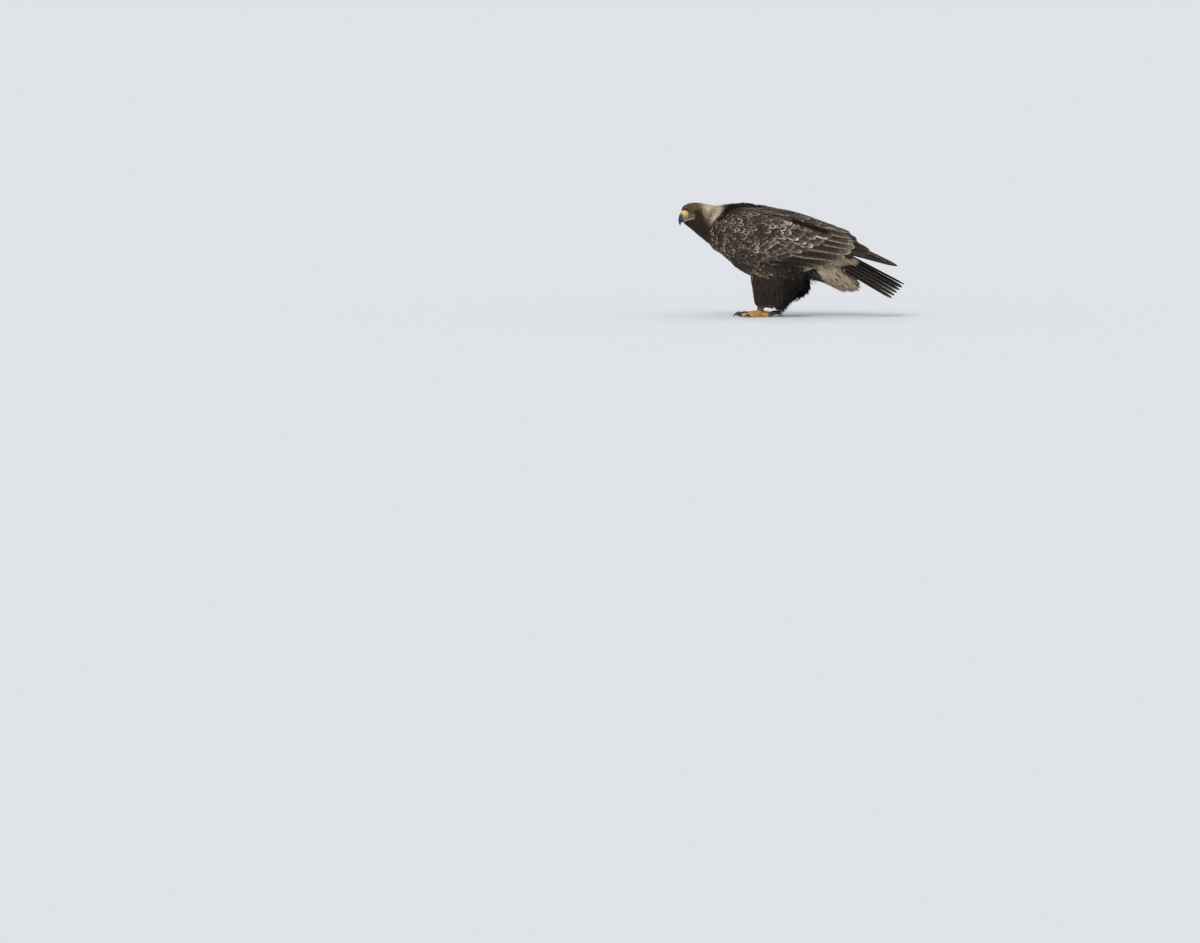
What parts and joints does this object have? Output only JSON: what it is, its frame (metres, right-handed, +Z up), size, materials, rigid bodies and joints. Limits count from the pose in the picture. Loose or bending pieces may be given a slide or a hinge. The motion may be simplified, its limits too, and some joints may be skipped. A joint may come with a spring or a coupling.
{
  "type": "golden eagle",
  "caption": "Life-size golden eagle standing with its body leant forward, wings folded, tail sloping down and head low and turned to its left.",
  "frame": {"origin": "centre of the bounding box at floor level, between and just behind the feet", "axes": "+Z up; the body runs along Y with the bill towards -Y and the tail towards +Y; the bird's left side is +X"},
  "size_m": [0.2104, 0.7464, 0.377],
  "materials": {
    "crown_feathers": "golden-brown hackle feathers",
    "breast_feathers": "dark brown feathers",
    "body_feathers": "dark brown feathers with paler edges",
    "wing_feathers": "dark brown flight feathers and coverts with worn pale edges",
    "vent_feathers": "tawny buff loose feathers",
    "trouser_feathers": "blackish brown loose feathers",
    "tail_feathers": "blackish brown tail feathers",
    "toes": "yellow scaly skin",
    "claws": "black polished horn",
    "bill": "blue-grey horn, black at the hooked tip, with a yellow cere at the base",
    "eyes": "wet amber-brown iris with a black pupil"
  },
  "bodies": {
    "root": {"head": "crown_feathers", "bill_upper": "bill", "bill_lower": "bill", "neck": "breast_feathers", "trunk": "body_feathers", "rump": "body_feathers", "undertail": "vent_feathers", "tail": "tail_feathers", "eye_left": "eyes", "eye_right": "eyes", "wing_left": "wing_feathers", "wing_right": "wing_feathers", "thigh_left": "trouser_feathers", "thigh_right": "trouser_feathers", "tarsus_left": "trouser_feathers", "tarsus_right": "trouser_feathers", "foot_left": "toes", "foot_right": "toes", "claw_inner_left": "claws", "claw_middle_left": "claws", "claw_outer_left": "claws", "claw_hind_left": "claws", "claw_inner_right": "claws", "claw_middle_right": "claws", "claw_outer_right": "claws", "claw_hind_right": "claws"}
  },
  "joints": []
}
